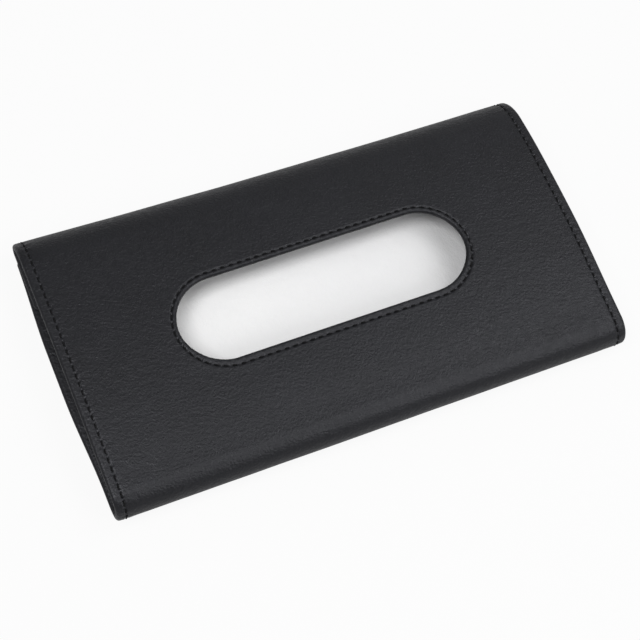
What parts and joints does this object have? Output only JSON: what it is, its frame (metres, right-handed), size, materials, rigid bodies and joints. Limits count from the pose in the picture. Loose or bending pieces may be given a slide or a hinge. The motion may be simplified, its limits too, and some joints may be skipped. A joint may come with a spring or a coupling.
{
  "type": "sun visor tissue holder",
  "caption": "Black leather wrap round a flat cavity for a tissue pack, with a round-ended window, open ends, a magnetic tuck-in lip and elastic bands for a car sun visor.",
  "frame": {"origin": "under the middle of the wrap, on the plane of the undersides of the two elastic bands, on which it lies", "axes": "+X along the wrap, +Y towards the long edge that opens, +Z out of the windowed face"},
  "size_m": [0.23, 0.128, 0.0216],
  "materials": {
    "cover_leather": "black smooth-grained leatherette, satin",
    "white_lining": "white leatherette with a fine grain, satin",
    "black_lining": "black matt lining",
    "stiffener_board": "raw grey board",
    "magnet": "plated disc magnet",
    "elastic": "black woven elastic"
  },
  "bodies": {
    "back": {"back_cover_leather": "cover_leather", "back_stiffener": "stiffener_board", "back_lining": "white_lining", "spine_lining": "black_lining", "back_magnet_left": "magnet", "back_magnet_right": "magnet", "visor_band_left": "elastic", "visor_band_right": "elastic"},
    "front": {"front_cover_leather": "cover_leather", "front_stiffener": "stiffener_board", "front_lining": "black_lining", "lip_stiffener": "stiffener_board", "lip_magnet_left": "magnet", "lip_magnet_right": "magnet"}
  },
  "joints": [
    {"name": "front_hinge", "type": "hinge", "parent": "back", "child": "front", "pos_m": [0, -0.05574, 0.01947], "axis": [1, 0, 0], "range_deg": [0, 160]}
  ]
}
